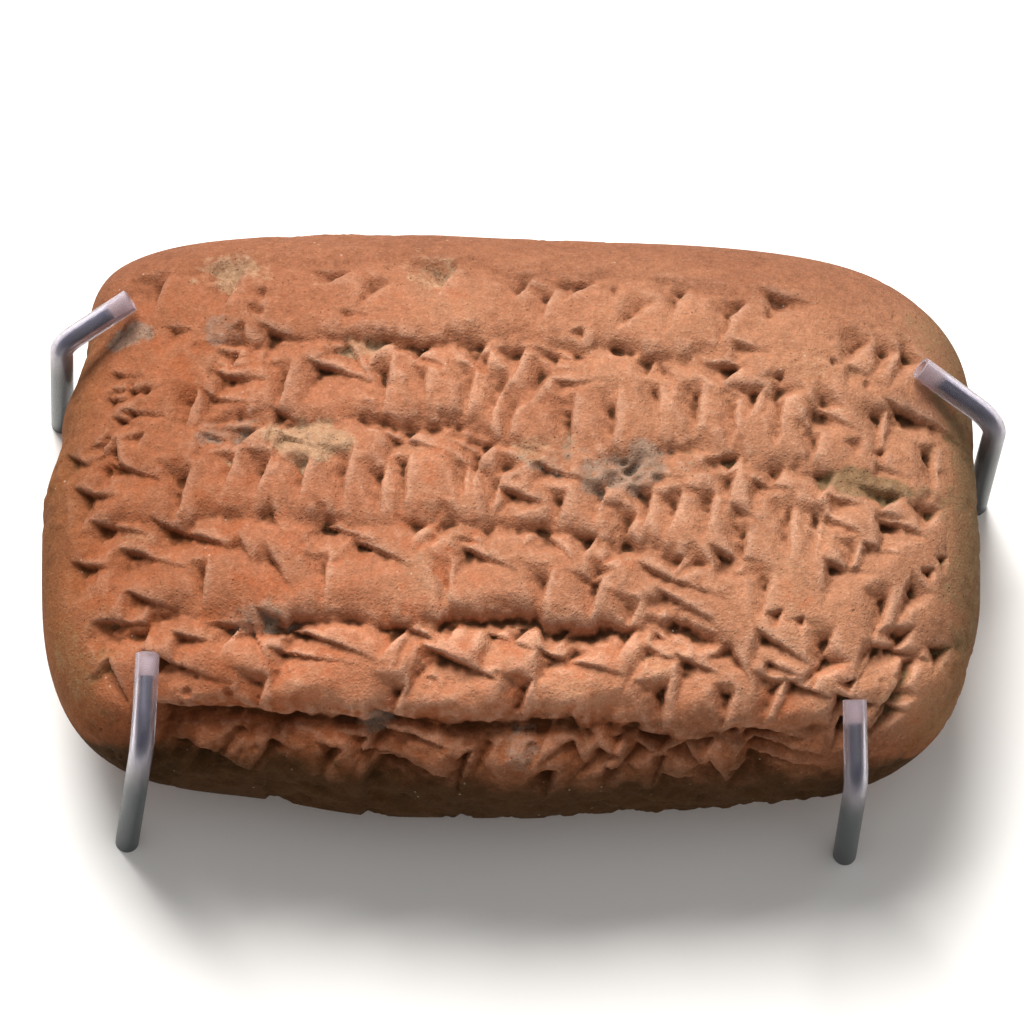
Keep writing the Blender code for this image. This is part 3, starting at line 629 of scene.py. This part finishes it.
def bend_tube(name, pin, radius, cut_short, sides):
    """A round tube up a pin's leg, round its elbow and out along its reach, open at both ends."""
    foot, elbow, tip = pin_points(*pin[:3])
    bend = pin[3]
    rise = (elbow - foot).normalized()
    reach = (tip - elbow).normalized()
    turn = rise.angle(reach)
    tangent = bend * math.tan(turn / 2.0)
    axis = rise.cross(reach).normalized()
    centre = elbow - rise * tangent + axis.cross(rise) * bend
    start = foot - rise * LEG_SPARE
    facing = rise.to_track_quat("Z", "Y").to_euler()
    bpy.ops.mesh.primitive_circle_add(
        vertices=sides, radius=radius * MM, location=start * MM, rotation=facing
    )
    tube = bpy.context.object
    tube.name = name
    bpy.ops.object.transform_apply(location=True, rotation=True, scale=True)
    bpy.ops.object.mode_set(mode="EDIT")
    bpy.ops.mesh.select_all(action="SELECT")
    leg = (elbow - rise * tangent - start) * MM
    for _ in range(LEG_RINGS):
        bpy.ops.mesh.extrude_region_move(TRANSFORM_OT_translate={"value": leg / LEG_RINGS})
    bpy.ops.mesh.spin(steps=BEND_RINGS, angle=-turn, center=centre * MM, axis=axis)
    arm = (tip - reach * cut_short - elbow - reach * tangent) * MM
    for _ in range(ARM_RINGS):
        bpy.ops.mesh.extrude_region_move(TRANSFORM_OT_translate={"value": arm / ARM_RINGS})
    bpy.ops.mesh.select_all(action="SELECT")
    bpy.ops.mesh.remove_doubles(threshold=SAME_TUBE_PLACE)
    bpy.ops.mesh.normals_make_consistent(inside=False)
    bpy.ops.object.mode_set(mode="OBJECT")
    return tube


def cut_at_floor(obj):
    """Cut a wire or tube off flat where it meets the floor."""
    only(obj)
    bpy.ops.object.mode_set(mode="EDIT")
    bpy.ops.mesh.select_all(action="SELECT")
    bpy.ops.mesh.bisect(
        plane_co=(0.0, 0.0, 0.0), plane_no=(0.0, 0.0, 1.0), clear_inner=True, use_fill=True
    )
    bpy.ops.object.mode_set(mode="OBJECT")


def build_wire(name, pin):
    """The bent steel wire, solid, with flat ends."""
    wire = bend_tube("wire_" + name, pin, WIRE_RADIUS, TIP_OVERHANG, WIRE_SIDES)
    only(wire)
    bpy.ops.object.mode_set(mode="EDIT")
    bpy.ops.mesh.select_mode(type="EDGE")
    bpy.ops.mesh.select_all(action="DESELECT")
    bpy.ops.mesh.select_non_manifold()
    bpy.ops.mesh.fill_holes(sides=WIRE_SIDES)
    bpy.ops.mesh.select_all(action="SELECT")
    bpy.ops.mesh.normals_make_consistent(inside=False)
    bpy.ops.object.mode_set(mode="OBJECT")
    cut_at_floor(wire)
    bpy.ops.object.shade_smooth_by_angle(angle=SHARP_ANGLE)
    return wire


def build_sleeve(name, pin):
    """The clear tube over a wire, with a wall and two open ends."""
    sleeve = bend_tube("tube_" + name, pin, SLEEVE_RADIUS, 0.0, SLEEVE_SIDES)
    wall = sleeve.modifiers.new("wall", "SOLIDIFY")
    wall.thickness = (SLEEVE_RADIUS - BORE_RADIUS) * MM
    wall.offset = -1.0
    only(sleeve)
    bpy.ops.object.modifier_apply(modifier="wall")
    cut_at_floor(sleeve)
    bpy.ops.object.shade_smooth_by_angle(angle=SHARP_ANGLE)
    end = pin_points(*pin[:3])[2]
    away = np.array([(corner.co / MM - end).length for corner in sleeve.data.vertices])
    store(sleeve, "near_end", np.clip((TIP_OVERHANG + MILKY_BLEND - away) / MILKY_BLEND, 0.0, 1.0))
    return sleeve


# ---------------------------------------------------------------- finishes

# clay, from its own colours to what lies on it, and painted shade, a painted highlight and painted bounce
# light
WARM_CLAY = (0.320, 0.124, 0.064)
PALE_CLAY = (0.345, 0.158, 0.088)
RUST = (0.27, 0.078, 0.032)
DUST = (0.345, 0.19, 0.112)
# paler ridges: wear and a painted highlight
RIDGE_WEAR_AND_HIGHLIGHT = (0.46, 0.265, 0.18)
# dirt and painted shade in hollows
DIRT_AND_SHADE = (0.138, 0.047, 0.018)
# dark specks, and painted shade in deep crevices
BLACK_SPECK_AND_SHADE = (0.029, 0.013, 0.006)
SAND = (0.32, 0.213, 0.13)
ASH = (0.20, 0.150, 0.115)
# olive deposit, and painted greenish bounce light at the rims
OLIVE_AND_BOUNCE = (0.155, 0.108, 0.054)
# painted shade and painted greenish bounce light at the short ends
RIM_SHADE_AND_BOUNCE = (0.135, 0.068, 0.026)
# painted shade where the face turns under
UNDERSIDE_SHADE = (0.045, 0.022, 0.008)
SHADED = (0.175, 0.051, 0.017)
# painted shade along the top band
TOP_SHADE = (0.190, 0.076, 0.041)
CHALK = (0.62, 0.52, 0.42)
# factors that make single grains paler or redder
SALMON = (1.35, 1.75, 2.0)
RUSTY_SHADE = (0.85, 0.62, 0.5)
# wires and sleeves
DARK_STEEL = (0.010, 0.017, 0.055)
BLUE_STEEL = (0.026, 0.040, 0.105)
LILAC_TUBE = (0.66, 0.64, 0.74)
PALE_TUBE = (0.80, 0.77, 0.84)
GREEN_TUBE = (0.18, 0.215, 0.215)
MILKY_END = (0.56, 0.44, 0.47)
DARK_LEG_VEIL = (0.085, 0.105, 0.110)
SOFT_SHEEN = (0.78, 0.70, 0.82, 1.0)

# lumps of colour in the clay: size in millimetres, detail, roughness
BROAD_CLOUDS = (11.0, 4.0, 0.55)
PATCHES = (2.6, 5.0, 0.62)
FINE_CLOUDS = (0.5, 4.0, 0.7)
MOTTLES = (1.3, 6.0, 0.72)
GRAIN_CLOUDS = (0.2, 2.0, 0.6)
SPECK_GROUPS = (2.4, 2.0, 0.5)
CHALK_GROUPS = (2.3, 2.0, 0.5)
# how far apart dark specks, chalky specks and pores stand
SPECK_GAP, CHALK_GAP, PORE_GAP = 0.5, 0.85, 0.42
# where a colour begins and where it is full, in millimetres walked from the middle of the face: painted shade
# and bounce light at the ends, painted shade over the left, the top, the lower edge and the underside; the
# band of painted light along the lower edge begins and ends, the latter counted the other way
ENDS_DARKEN = (30.5, 37.5)
LEFT_DARKENS = (12.0, 31.0)
TOP_DARKENS = (10.0, 22.0)
BOTTOM_DARKENS = (16.5, 24.0)
UNDER_DARKENS = (22.5, 27.0)
LIT_BAND_BEGINS, LIT_BAND_ENDS = (8.0, 14.0), (-21.5, -17.5)
# the same, in millimetres in from the back's rim
BACK_BEGINS = (5.5, 13.5)
BUMP_DEPTH = 0.15
# the height below which a sleeve's leg is darkest and greenest, and the one where that begins, in metres
LEG_DARKENS = (11.0 * MM, 18.5 * MM)


class Tone:
    """A number that changes over a surface; sums and products of tones add Math nodes."""

    def __init__(self, finish, socket):
        self.finish = finish
        self.socket = socket

    def maths(self, operation, *values):
        return self.finish.node("ShaderNodeMath", {"operation": operation}, *values)

    def __add__(self, other):
        return self.maths("ADD", self, other)

    def __radd__(self, other):
        return self.maths("ADD", other, self)

    def __sub__(self, other):
        return self.maths("SUBTRACT", self, other)

    def __rsub__(self, other):
        return self.maths("SUBTRACT", other, self)

    def __mul__(self, other):
        return self.maths("MULTIPLY", self, other)

    def __rmul__(self, other):
        return self.maths("MULTIPLY", other, self)

    def __neg__(self):
        return self.maths("MULTIPLY", self, -1.0)

    def __abs__(self):
        return self.maths("ABSOLUTE", self)

    def between(self, low, high):
        """0 below low, 1 above high, eased in between."""
        settings = {"interpolation_type": "SMOOTHSTEP"}
        return self.finish.node(
            "ShaderNodeMapRange", settings, Value=self,
            **{"From Min": low, "From Max": high},
        )


class Finish:
    """One material and the nodes that colour it."""

    def __init__(self, name, **plain):
        self.material = bpy.data.materials.new(name)
        self.material.use_nodes = True
        self.tree = self.material.node_tree
        self.shader = self.tree.nodes["Principled BSDF"]
        for socket, value in plain.items():
            self.shader.inputs[socket.replace("_", " ")].default_value = value
        self.object_place = self.node("ShaderNodeTexCoord", {}, output="Object")

    def set_socket(self, socket, value):
        if isinstance(value, Tone):
            self.tree.links.new(value.socket, socket)
        else:
            socket.default_value = value

    def node(self, kind, settings, *values, output=0, **named):
        """Add a node: its settings, then its sockets by order or by name."""
        node = self.tree.nodes.new(kind)
        for key, value in settings.items():
            setattr(node, key, value)
        for socket, value in zip(node.inputs, values):
            self.set_socket(socket, value)
        for key, value in named.items():
            self.set_socket(node.inputs[key], value)
        return Tone(self, node.outputs[output])

    def noise(self, size, detail, roughness):
        """Cloudy values round 0.5, for lumps of a size in millimetres."""
        return self.node(
            "ShaderNodeTexNoise", {}, Vector=self.object_place, Scale=1.0 / (size * MM),
            Detail=detail, Roughness=roughness,
        )

    def cells(self, size, spread=1.0):
        """Distance from scattered specks that stand a size in millimetres apart."""
        return self.node(
            "ShaderNodeTexVoronoi", {}, Vector=self.object_place, Scale=1.0 / (size * MM),
            Randomness=spread, output="Distance",
        )

    def kept(self, name):
        """A value kept on the mesh."""
        return self.node("ShaderNodeAttribute", {"attribute_name": name}, output="Fac")

    def grey(self, tone):
        """A tone as a grey colour."""
        return self.node("ShaderNodeCombineColor", {}, tone, tone, tone)

    def blend(self, amount, first, second, mode="MIX"):
        """Mix two colours."""
        node = self.tree.nodes.new("ShaderNodeMix")
        node.data_type = "RGBA"
        node.blend_type = mode
        sockets = [s for s in node.inputs if s.enabled]
        factor = next(s for s in sockets if s.name == "Factor")
        a = next(s for s in sockets if s.name == "A")
        b = next(s for s in sockets if s.name == "B")
        for socket, value in ((factor, amount), (a, first), (b, second)):
            if isinstance(value, tuple):
                value = (*value, 1.0)
            self.set_socket(socket, value)
        return Tone(self, next(s for s in node.outputs if s.enabled))

    def feed(self, socket, value):
        """Lead a tone into the shader."""
        self.tree.links.new(value.socket, self.shader.inputs[socket])

    def veil(self, amount, colour):
        """Cloud the shader over with a matt colour."""
        matt = self.node("ShaderNodeBsdfDiffuse", {}, Color=colour)
        clear = Tone(self, self.shader.outputs[0])
        mixed = self.node("ShaderNodeMixShader", {}, amount, clear, matt)
        self.tree.links.new(mixed.socket, self.tree.nodes["Material Output"].inputs["Surface"])

    def relief(self, height, depth):
        """Raise a surface by a tone; depth is in millimetres."""
        return self.node("ShaderNodeBump", {}, Height=height, Distance=depth * MM)


def clay_finish():
    """Worn terracotta: soil and painted shade in its hollows, ridges paler from wear and a painted highlight,
    painted shade at its ends, top and lower edge, a band of painted light, sandy, grey and greenish deposits
    with painted bounce light at the rims, grain.
    """
    clay = Finish("baked_clay", Roughness=0.9, Specular_IOR_Level=0.06)
    walk_x, walk_y = clay.kept("walk_x"), clay.kept("walk_y")
    hollow, deep = clay.kept("hollow"), clay.kept("deep")
    broad = clay.noise(*BROAD_CLOUDS) - 0.5
    patch = clay.noise(*PATCHES) - 0.5
    fine = clay.noise(*FINE_CLOUDS) - 0.5
    rightward = (walk_x * 0.014 + broad * 1.2 + 0.5).between(0.15, 0.85)
    colour = clay.blend(rightward, WARM_CLAY, PALE_CLAY)
    redder = patch * 1.3 + broad - walk_x * 0.004 - walk_y * 0.006
    colour = clay.blend(redder.between(0.06, 0.4) * 0.75, colour, RUST)
    colour = clay.blend((broad * 1.5 - patch).between(0.1, 0.5) * 0.4, colour, DUST)
    # paler on raised ridges: partly wear, partly a painted highlight
    worn_ridge_and_highlight = (fine * 0.12 - hollow).between(0.0, 0.2)
    colour = clay.blend(worn_ridge_and_highlight * 0.5, colour, RIDGE_WEAR_AND_HIGHLIGHT)
    # darker in hollows: partly dirt, partly painted shade
    hollow_dirt_and_shade = (hollow + patch * 0.25 + deep * 0.3).between(0.1, 0.5)
    colour = clay.blend(hollow_dirt_and_shade * 0.65, colour, DIRT_AND_SHADE)
    # near black in deep crevices: painted shade
    crevice_shade = (deep + hollow + patch * 0.3).between(0.65, 1.2)
    colour = clay.blend(crevice_shade * 0.85, colour, BLACK_SPECK_AND_SHADE)
    # darker and olive at the short ends: painted shade and painted greenish bounce light
    edge = abs(walk_x).between(*ENDS_DARKEN) * 0.8
    colour = clay.blend(edge + patch * 0.2, colour, RIM_SHADE_AND_BOUNCE)
    colour = clay.blend((-walk_x + patch * 6.0).between(*LEFT_DARKENS) * 0.45, colour, SHADED)
    past = clay.kept("past_rim")
    on_rim = 1.0 - (past + patch * 4.0).between(*BACK_BEGINS)
    lower = past * 2.0 - walk_y
    # darker along the top band: painted shade
    upper = (walk_y + patch * 4.0).between(*TOP_DARKENS) * 0.85
    colour = clay.blend(upper * on_rim, colour, TOP_SHADE)
    # darker towards the lower edge: painted shade
    bottom = (lower + patch * 5.0).between(*BOTTOM_DARKENS)
    colour = clay.blend(bottom * on_rim * 0.6, colour, SHADED)
    # near black where the face turns under at the lower edge: painted shade
    under = (lower + patch * 6.0 - walk_x * 0.03).between(*UNDER_DARKENS) * 0.96
    colour = clay.blend(under * on_rim, colour, UNDERSIDE_SHADE)
    # deposits; the olive ones at the rims are painted greenish bounce light as well
    for name, tint in (("sandy", SAND), ("grey", ASH), ("olive_and_bounce", OLIVE_AND_BOUNCE)):
        cover = (clay.kept(name) + patch * 0.9 + hollow * 0.5 + fine * 1.1).between(0.4, 1.0)
        colour = clay.blend(cover * 0.7, colour, tint)
    dusty = clay.kept("sandy") + clay.kept("grey") + clay.kept("olive_and_bounce")
    specks = clay.cells(SPECK_GAP).between(0.08, 0.2)
    amount = (clay.noise(*SPECK_GROUPS) + dusty * 0.25).between(0.56, 0.68) * 0.7
    colour = clay.blend((1.0 - specks) * amount, colour, BLACK_SPECK_AND_SHADE)
    chalk = clay.cells(CHALK_GAP, 0.9).between(0.07, 0.13)
    amount = clay.noise(*CHALK_GROUPS).between(0.52, 0.66)
    colour = clay.blend((1.0 - chalk) * amount * 0.3, colour, CHALK)
    grains = clay.noise(*GRAIN_CLOUDS)
    colour = clay.blend(grains.between(0.52, 0.78) * 0.5, colour, SALMON, "MULTIPLY")
    colour = clay.blend((1.0 - grains).between(0.5, 0.75) * 0.5, colour, RUSTY_SHADE, "MULTIPLY")
    mottled = clay.noise(*MOTTLES) - 0.5
    # a lighter band across the lower rows: painted light
    begun = (lower + patch * 3.0).between(*LIT_BAND_BEGINS)
    painted_lit_band = begun * (patch * 3.0 - lower).between(*LIT_BAND_ENDS) * on_rim
    blotched = broad * 0.5 + patch * 0.3 + mottled * 0.6 + fine * 0.8
    colour = clay.blend(1.0, colour, clay.grey(blotched + painted_lit_band * 0.19 + 1.0), "MULTIPLY")
    clay.feed("Base Color", colour)
    pores = clay.cells(PORE_GAP).between(0.0, 0.3)
    clay.feed("Normal", clay.relief(fine * 0.7 + grains * 0.5 + pores * 0.3, BUMP_DEPTH))
    return clay.material


def steel_finish():
    """Drawn steel wire, blue-grey, with faint clouds in its colour and gloss."""
    steel = Finish("drawn_wire", Metallic=0.5)
    cloud = steel.noise(1.4, 4.0, 0.6)
    steel.feed("Base Color", steel.blend(cloud.between(0.35, 0.7), DARK_STEEL, BLUE_STEEL))
    steel.feed("Roughness", cloud * 0.2 + 0.3)
    return steel.material


def sleeve_finish():
    """Clear soft tube: milky at its cut end, darker and greener down its leg."""
    tube = Finish(
        "clear_tube", Roughness=0.25, IOR=1.38, Transmission_Weight=0.95, Specular_IOR_Level=0.2,
        Sheen_Weight=0.06, Sheen_Roughness=0.55, Sheen_Tint=SOFT_SHEEN,
    )
    cloud = tube.noise(0.9, 3.0, 0.6)
    arm = tube.blend(cloud.between(0.3, 0.7), LILAC_TUBE, PALE_TUBE)
    height = tube.node("ShaderNodeSeparateXYZ", {}, tube.object_place, output="Z")
    leg = 1.0 - height.between(*LEG_DARKENS)
    tube.feed("Base Color", tube.blend(leg, arm, GREEN_TUBE))
    end = tube.kept("near_end")
    tube.veil(end * 0.26 + leg * 0.3 + 0.004, tube.blend(leg, MILKY_END, DARK_LEG_VEIL))
    return tube.material


# ---------------------------------------------------------------- stage

FLOOR_SIZE, FLOOR_DROP = 3.0, 0.00002
FLOOR_GREY, FLOOR_PALE = (0.92, 0.92, 0.915), (0.94, 0.94, 0.935)
# lamps, from the tablet's middle, in metres: watts, size, tint
KEY_DIRECTION, KEY_DISTANCE = Vector((-0.20, 0.61, 0.765)).normalized(), 0.7
KEY_LIGHT = (10.3, 0.44, (1.0, 0.97, 0.93))
FILL_PLACE = Vector((0.10, -0.25, 0.8))
FILL_LIGHT = (0.8, 0.7, (1.0, 0.98, 0.95))
ROOM_COLOUR, ROOM_STRENGTH = (1.0, 0.98, 0.95, 1.0), 0.31
# the camera: degrees round, up and rolled; its distance, the width it takes in and how far it is
# raised, in millimetres
VIEW_ROUND, VIEW_UP, VIEW_ROLL = -6.5, 66.0, 7.2
VIEW_DISTANCE, VIEW_WIDTH, VIEW_RAISE = 500.0, 76.8, 0.8
SENSOR_WIDTH = 36.0


def soft_lamp(name, place, aim, watts, size, tint):
    """A square lamp that looks at a place."""
    data = bpy.data.lights.new(name, "AREA")
    data.energy = watts
    data.color = tint
    data.size = size
    lamp = bpy.data.objects.new(name, data)
    bpy.context.scene.collection.objects.link(lamp)
    lamp.location = place
    lamp.rotation_euler = (aim - place).to_track_quat("-Z", "Y").to_euler()


def lay_floor():
    """A pale floor just under the tablet and the pins' feet."""
    bpy.ops.mesh.primitive_plane_add(size=FLOOR_SIZE, location=(0.0, 0.0, -FLOOR_DROP))
    floor = bpy.context.object
    floor.name = "floor"
    plain = Finish("pale_floor", Roughness=0.9)
    cloud = plain.noise(40.0, 2.0, 0.6).between(0.3, 0.7)
    plain.feed("Base Color", plain.blend(cloud, FLOOR_GREY, FLOOR_PALE))
    floor.data.materials.append(plain.material)


def set_lights(middle):
    """Soft light from beyond the tablet's top edge, a weaker one over its lower edge, a dim room."""
    soft_lamp("key", middle + KEY_DIRECTION * KEY_DISTANCE, middle, *KEY_LIGHT)
    soft_lamp("fill", middle + FILL_PLACE, middle, *FILL_LIGHT)
    world = bpy.data.worlds.new("room")
    world.use_nodes = True
    background = world.node_tree.nodes["Background"]
    background.inputs["Color"].default_value = ROOM_COLOUR
    background.inputs["Strength"].default_value = ROOM_STRENGTH
    bpy.context.scene.world = world


def set_camera(middle):
    """A camera over the writing, rolled a little, as one stands at the lower edge and looks down."""
    azimuth, elevation, roll = (math.radians(value) for value in (VIEW_ROUND, VIEW_UP, VIEW_ROLL))
    flat = math.cos(elevation)
    back = Vector((math.sin(azimuth) * flat, -math.cos(azimuth) * flat, math.sin(elevation)))
    right = Vector((math.cos(azimuth), math.sin(azimuth), 0.0))
    up = back.cross(right)
    level = right * math.cos(roll) + up * math.sin(roll)
    upright = up * math.cos(roll) - right * math.sin(roll)
    camera = bpy.data.objects.new("camera", bpy.data.cameras.new("camera"))
    bpy.context.scene.collection.objects.link(camera)
    camera.data.sensor_width = SENSOR_WIDTH
    camera.data.lens = SENSOR_WIDTH * VIEW_DISTANCE / VIEW_WIDTH
    camera.data.clip_start, camera.data.clip_end = 0.01, 10.0
    camera.matrix_world = Matrix((level, upright, back)).transposed().to_4x4()
    camera.location = middle + upright * (VIEW_RAISE * MM) + back * (VIEW_DISTANCE * MM)
    bpy.context.scene.camera = camera
    bpy.context.scene.view_settings.view_transform = "Standard"


def dress(obj, node, material):
    """Give a piece its finish, hang it from the root body and hide the solid it stands for."""
    obj.data.materials.clear()
    obj.data.materials.append(material)
    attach(obj, "root")
    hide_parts(node)


def build():
    """Make every piece and put it in the frame."""
    bpy.ops.object.select_all(action="DESELECT")
    dress(build_tablet(), "tablet", clay_finish())
    steel, clear = steel_finish(), sleeve_finish()
    for name, pin in PINS.items():
        dress(build_wire(name, pin), "pin_" + name, steel)
        dress(build_sleeve(name, pin), "sleeve_" + name, clear)
    middle = Vector(SLAB_MIDDLE) * MM
    lay_floor()
    set_lights(middle)
    set_camera(middle)


build()
